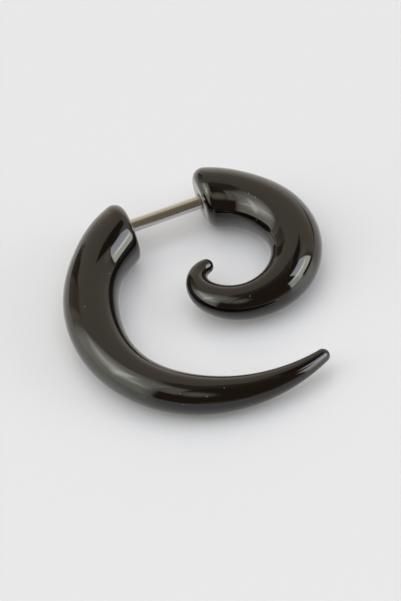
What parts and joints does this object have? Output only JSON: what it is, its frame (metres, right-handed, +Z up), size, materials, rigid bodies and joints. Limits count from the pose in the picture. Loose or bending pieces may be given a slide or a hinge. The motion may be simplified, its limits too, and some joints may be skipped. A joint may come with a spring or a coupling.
{
  "type": "half moon earring",
  "caption": "Fake-gauge earring: a glossy black half moon and a small curled spiral, each cut flat, on the ends of a thin steel post that goes through the ear lobe.",
  "frame": {"origin": "on the surface that the earring lies on, under the middle of its box", "axes": "+X along the post from the half moon to the spiral, +Z up through the flat side of the earring"},
  "size_m": [0.0244, 0.0264, 0.0055],
  "materials": {
    "acrylic": "polished black acrylic",
    "steel": "drawn steel rod with fine grain along it"
  },
  "bodies": {
    "crescent_half": {"crescent": "acrylic", "post": "steel"},
    "spiral_half": {"spiral": "acrylic"}
  },
  "joints": [
    {"name": "unscrew_spiral", "type": "slide", "parent": "crescent_half", "child": "spiral_half", "axis": [1, 0, 0], "range_m": [0, 0.012]}
  ]
}
